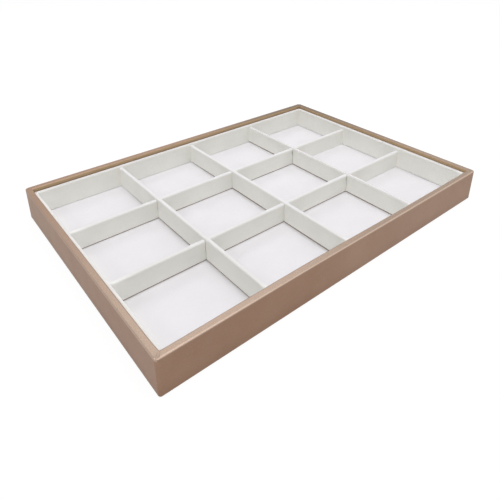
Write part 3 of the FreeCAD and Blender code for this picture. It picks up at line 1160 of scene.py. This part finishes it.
FITS = {
    "long_divider_1": Fit(rise=0.46 * MM, settles_from=0.47, settles_to=0.60, proud=-0.3 * MM),
    "long_divider_2": Fit(rise=0.28 * MM, settles_from=0.47, settles_to=0.60, proud=-0.3 * MM),
    "cross_divider_1": Fit(rise=0.68 * MM, settles_from=0.40, settles_to=0.95, proud=0.8 * MM),
    "cross_divider_2": Fit(rise=0.72 * MM, settles_from=0.40, settles_to=1.60, proud=0.3 * MM),
    "cross_divider_3": Fit(rise=0.48 * MM, settles_from=1.00, settles_to=2.00, proud=-0.4 * MM),
}


@dataclass
class DividerSleeve:
    """A divider's white sleeve: folded over the top of its card, slotted with it, and trimmed short."""

    name: str
    body: str
    lap: Lap
    turn: Matrix
    middle: Vector
    places: list[float]
    slots: list[Spot]
    lap_level: float
    half_width: float
    thickness: float
    foot: float
    top: float
    seed: float
    fit: Fit
    fold_radius: float = 1.35 * MM
    fold_steps: int = 6
    ripple_depth: float = 0.06 * MM
    ripple_size: float = 24 * MM
    trim_settle: float = 0.42 * MM
    trim_wander: float = 0.10 * MM
    trim_size: float = 12 * MM
    trim_seed: float = 5.0
    slot_close: float = 0.20 * MM
    flare: float = 0.95 * MM
    flared_slot: int = 2
    face_step: float = 2.5 * MM
    longest_step: float = 3.5 * MM

    @classmethod
    def from_frame(cls, name: str, seed: float) -> "DividerSleeve":
        """Reads one divider's sizes off the frame.

        Args:
            name: the divider's name.
            seed: sets its ripples apart.

        Returns:
            The sleeve, of a long divider slotted from the top or a cross one slotted from the foot.
        """
        crosses = name.startswith("cross")
        low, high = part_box(f"{name}_skin")
        card = f"{name}_card"
        along = 0 if high.x - low.x > high.y - low.y else 1
        across = 1 - along
        centre = (low[along] + high[along]) / 2
        faces = [place - centre for place in levels(card, along)]
        _, card_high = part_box(card)
        fit = FITS[name]
        return cls(
            name=name,
            body=name if crosses else "lattice",
            lap=Lap.DOWN if crosses else Lap.UP,
            turn=Matrix.Rotation(math.radians(90 * along), 4, "Z"),
            middle=Vector(((low.x + high.x) / 2, (low.y + high.y) / 2, 0.0)),
            places=faces,
            slots=list(zip(faces[1:-1:2], faces[2:-1:2])),
            lap_level=levels(card, 2)[1],
            half_width=(high[across] - low[across]) / 2,
            thickness=high[across] - card_high[across],
            foot=low.z,
            top=high.z + fit.proud,
            seed=seed,
            fit=fit,
        )

    def section(self) -> list[Spot]:
        """Draws the sleeve's visible side: up one face, over the fold and down the other.

        Returns:
            Points as place across the divider and height.
        """
        fold = (self.half_width - self.fold_radius, self.top - self.fold_radius)
        stretches = pairwise((self.foot, self.lap_level, fold[1]))
        climb = [height for start, end in stretches for height in steps(start, end, self.face_step)]
        half = [(self.half_width, height) for height in climb]
        half += arc(fold, self.fold_radius, 0, 90, self.fold_steps)
        return half + [(-across, height) for across, height in reversed(half)]

    def is_cut(self, along: float, height: float) -> bool:
        """Whether a place on the sleeve is in one of its slots."""
        beside = any(start < along < end for start, end in self.slots)
        return beside and (height > self.lap_level if self.lap is Lap.UP else height < self.lap_level)

    def trim(self, along: float) -> float:
        """How far the sleeve's cut edge is above its plain foot, less where the divider has settled.

        Args:
            along: the place along the divider.

        Returns:
            The height in metres.
        """
        half_length = self.places[-1]
        start, end = half_length * self.fit.settles_from, half_length * self.fit.settles_to
        share = clamped((along - start) / (end - start))
        wander = ripple(Vector((along, 0.0, 0.0)), self.trim_size, self.seed + self.trim_seed)
        return (self.fit.rise + self.trim_wander * wander) * (1 - share) - self.trim_settle * share

    def closing(self, along: float, height: float) -> float:
        """How far a slot's cut edge leans in towards the slot's mouth, or flares at the one cut roughly.

        Args:
            along: the place of the edge along the divider.
            height: the height on the edge.

        Returns:
            The shift along the divider, nought away from a slot.
        """
        mouth = self.top if self.lap is Lap.UP else self.foot
        share = max((height - self.lap_level) / (mouth - self.lap_level), 0.0)
        for index, (start, end) in enumerate(self.slots):
            if along in (start, end):
                shift = self.slot_close * share
                if self.lap is Lap.UP and index == self.flared_slot:
                    shift -= self.flare * math.sin(math.pi * min(share, 1.0)) ** 2
                return shift if along == start else -shift
        return 0.0

    def build(self) -> None:
        """Draws the section along the divider, without the slots, and gives the sheet its thickness."""
        stretches = pairwise(self.places)
        places = [place for start, end in stretches for place in steps(start, end, self.longest_step)]
        places.append(self.places[-1])
        section = self.section()
        points = []
        for along in places:
            for across, height in section:
                place = Vector((along, across, height))
                wave = dip(place, self.ripple_size, self.seed, self.ripple_depth)
                if height > self.top - self.fold_radius:
                    place.z += wave
                else:
                    place.y += math.copysign(1.0, across) * wave
                if height == self.foot:
                    place.z += self.trim(along)
                place.x += self.closing(along, height)
                points.append(tuple(self.middle + self.turn @ place))
        faces = []
        for face in grid_faces(len(places), len(section)):
            column, row = divmod(face[0], len(section))
            along = (places[column] + places[column + 1]) / 2
            if not self.is_cut(along, (section[row][1] + section[row + 1][1]) / 2):
                faces.append(face)
        piece = new_piece(f"{self.name}_sleeve", points, faces)
        thicken(piece, self.thickness - self.ripple_depth)
        dress(piece, WHITE, f"{self.name}_skin", self.body)


@dataclass
class UndersideCover:
    """The paper under the base: its border on the turned-in wrap, its middle pressed up on the base."""

    low: Vector
    high: Vector
    step_start: float
    sheet: float
    step_width: float = 2.2 * MM
    step_lines: int = 6
    longest_step: float = 8 * MM

    @classmethod
    def from_frame(cls) -> "UndersideCover":
        """Reads the cover's sizes off the frame.

        Returns:
            The cover.
        """
        low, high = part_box("underside_cover")
        step_start = levels("underside_cover", 0)[1] - low.x
        return cls(low, high, step_start, sheet=levels("underside_cover", 2)[1] - low.z)

    def lines(self, start: float, end: float) -> list[float]:
        """Divides one side of the cover, finely at the step in from either end.

        Args:
            start: where the side starts.
            end: where it ends.

        Returns:
            The places of the mesh's lines.
        """
        inner = self.step_start + self.step_width
        near = steps(start, start + self.step_start, self.longest_step)
        near += steps(start + self.step_start, start + inner, self.step_width / self.step_lines)
        far = [start + end - place for place in reversed(near)]
        return near + steps(start + inner, end - inner, self.longest_step) + [end - inner] + far

    def rise(self, x: float, y: float) -> float:
        """How far the paper is pressed up at a place.

        Args:
            x: the place along the tray.
            y: the place across it.

        Returns:
            The height above the border, in metres.
        """
        inset = min(x - self.low.x, self.high.x - x, y - self.low.y, self.high.y - y)
        share = clamped((inset - self.step_start) / self.step_width)
        return share * share * (3 - 2 * share) * (self.high.z - self.low.z - self.sheet)

    def build(self) -> None:
        """Lays the paper."""
        xs = self.lines(self.low.x, self.high.x)
        ys = self.lines(self.low.y, self.high.y)
        points = [(x, y, self.low.z + self.rise(x, y)) for x in xs for y in ys]
        piece = new_piece("underside_paper_sheet", points, grid_faces(len(xs), len(ys)))
        thicken(piece, self.sheet)
        dress(piece, COVER_PAPER, "underside_cover", "tray")


@dataclass
class Boards:
    """The boards and cards, whose own shapes stay and take their finish."""

    fibreboard: Sequence[str]
    greyboard: Sequence[str]

    @classmethod
    def from_frame(cls) -> "Boards":
        """Sorts the frame's boards by name.

        Returns:
            The boards.
        """
        names = sorted(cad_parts)
        rails = [name for name in names if name.endswith("_rail") or name == "base_board"]
        return cls(rails, [name for name in names if name.endswith("_card")])

    def build(self) -> None:
        """Finishes every board."""
        for names, finish in ((self.fibreboard, FIBREBOARD), (self.greyboard, GREYBOARD)):
            for name in names:
                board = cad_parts[name]
                board.data.materials.clear()
                board.data.materials.append(finish.material())
                LOG.info("%s is %s", name, finish.name)


@dataclass(frozen=True)
class PhotoCamera:
    """The camera at the photograph's viewing angle: place in metres, angles in degrees, image in pixels."""

    place: Point = (-0.2544, -0.2967, 0.2515)
    heading: float = 38.58
    pitch: float = -24.70
    roll: float = -0.21
    focal_pixels: float = 476.4
    centre_pixel: Spot = (242.0, 140.0)
    image_pixels: int = 500
    sensor: float = 36.0
    nearest: float = 0.01

    def build(self) -> None:
        """Sets up the camera."""
        data = bpy.data.cameras.new("photo_camera")
        half = self.image_pixels / 2
        data.sensor_width = self.sensor
        data.lens = self.focal_pixels * self.sensor / self.image_pixels
        data.shift_x = (half - self.centre_pixel[0]) / self.image_pixels
        data.shift_y = (self.centre_pixel[1] - half) / self.image_pixels
        data.clip_start = self.nearest
        camera = bpy.data.objects.new("photo_camera", data)
        camera.matrix_world = (
            Matrix.Translation(self.place)
            @ Matrix.Rotation(math.radians(-self.heading), 4, "Z")
            @ Matrix.Rotation(math.radians(90 + self.pitch), 4, "X")
            @ Matrix.Rotation(math.radians(self.roll), 4, "Z")
        )
        bpy.context.scene.collection.objects.link(camera)
        bpy.context.scene.camera = camera


@dataclass(frozen=True)
class Softbox:
    """A soft rectangular lamp aimed at a point, for all light or for sheen alone; in metres and watts."""

    name: str
    place: Point
    aim: Point
    size: Spot
    power: float
    sheen_only: bool = False
    colour: Colour = (0.985, 0.975, 1.0)

    def build(self) -> None:
        """Hangs the lamp."""
        data = bpy.data.lights.new(self.name, "AREA")
        data.shape = "RECTANGLE"
        data.size, data.size_y = self.size
        data.energy = self.power
        data.color = self.colour
        data.diffuse_factor = 0.0 if self.sheen_only else 1.0
        lamp = bpy.data.objects.new(self.name, data)
        lamp.location = self.place
        lamp.rotation_mode = "QUATERNION"
        lamp.rotation_quaternion = (Vector(self.aim) - Vector(self.place)).to_track_quat("-Z", "Y")
        bpy.context.scene.collection.objects.link(lamp)


def seen_directly(tree: FinishTree) -> Value:
    """Tells rays that show a surface from rays that only bring its light.

    Args:
        tree: the tree of the surface.

    Returns:
        One for a ray from the camera or a mirror or glass, and nought for any other.
    """
    path = tree.node("ShaderNodeLightPath", NOTHING, NOTHING)
    names = ("Is Camera Ray", "Is Glossy Ray", "Is Transmission Ray")
    camera, glossy, through = (Value(tree, path.outputs[name]) for name in names)
    return camera.larger(glossy).larger(through)


@dataclass(frozen=True)
class Studio:
    """A white sweep: a pale floor that keeps the tray's shadow, and an even white surround."""

    floor_size: float = 12.0
    floor_drop: float = 0.05 * MM
    floor_colour: Colour = (0.55, 0.55, 0.55)
    white_share: float = 0.85
    white: float = 1.10
    ambient: float = 0.43
    ambient_colour: Colour = (1.0, 0.985, 0.955)
    softboxes: tuple[Softbox, ...] = (
        Softbox("overhead", (0.10, -0.25, 2.60), (0.0, 0.0, 0.0), (1.4, 0.7), 20.6),
        Softbox("camera_fill", (-1.72, -0.88, 2.25), (0.0, 0.0, 0.0), (2.0, 1.6), 22.5),
        Softbox("back_sheen", (0.50, 0.85, 1.20), (0.0, -0.12, 0.0), (1.1, 0.5), 3.7, True),
        Softbox("front_edge_sheen", (0.90, -1.05, 0.78), (0.0, -0.12, 0.03), (1.3, 0.7), 2.4, True),
    )

    def floor(self) -> None:
        """Lays the floor, which is no part of the tray."""
        half = self.floor_size / 2
        corners = ((-half, -half), (half, -half), (half, half), (-half, half))
        floor = new_piece("studio_floor", [(x, y, -self.floor_drop) for x, y in corners], [(0, 1, 2, 3)])
        material, tree = new_material("studio_floor_white")
        paper = tree.value("ShaderNodeBsdfDiffuse", "BSDF", NOTHING, {"Color": opaque(self.floor_colour)})
        glow = tree.value("ShaderNodeEmission", "Emission", NOTHING, {"Strength": self.white})
        sockets = {"Fac": seen_directly(tree) * self.white_share, "Shader": paper, "Shader_001": glow}
        both = tree.value("ShaderNodeMixShader", "Shader", NOTHING, sockets)
        tree.node("ShaderNodeOutputMaterial", NOTHING, {"Surface": both})
        floor.data.materials.append(material)

    def surround(self) -> None:
        """Sets the even light all round, which a camera or a gloss sees as white."""
        world = bpy.data.worlds.new("studio_surround")
        world.use_nodes = True
        tree = FinishTree(world.node_tree)
        plain = {"Color": opaque(self.ambient_colour), "Strength": self.ambient}
        dim = tree.value("ShaderNodeBackground", "Background", NOTHING, plain)
        full = {"Color": (1.0,) * 4, "Strength": 1.0}
        white = tree.value("ShaderNodeBackground", "Background", NOTHING, full)
        sockets = {"Fac": seen_directly(tree), "Shader": dim, "Shader_001": white}
        both = tree.value("ShaderNodeMixShader", "Shader", NOTHING, sockets)
        tree.node("ShaderNodeOutputWorld", NOTHING, {"Surface": both})
        bpy.context.scene.world = world

    def build(self) -> None:
        """Sets up floor, surround and lamps."""
        self.floor()
        self.surround()
        for softbox in self.softboxes:
            softbox.build()
        bpy.context.scene.view_settings.view_transform = "Standard"


def main() -> None:
    """Builds the camera, the studio and every piece of the tray in order."""
    logging.basicConfig(level=logging.INFO, format="%(name)s: %(message)s")
    PhotoCamera().build()
    Studio().build()
    Boards.from_frame().build()
    OuterWrap().build()
    UndersideCover.from_frame().build()
    FloorSheet.from_frame().build()
    for wall in Wall:
        LinerSheet.from_frame(wall).build()
    for index, name in enumerate(sorted(FITS), start=1):
        DividerSleeve.from_frame(name, index * SLEEVE_SEED_STEP).build()


if __name__ == "__main__":
    main()
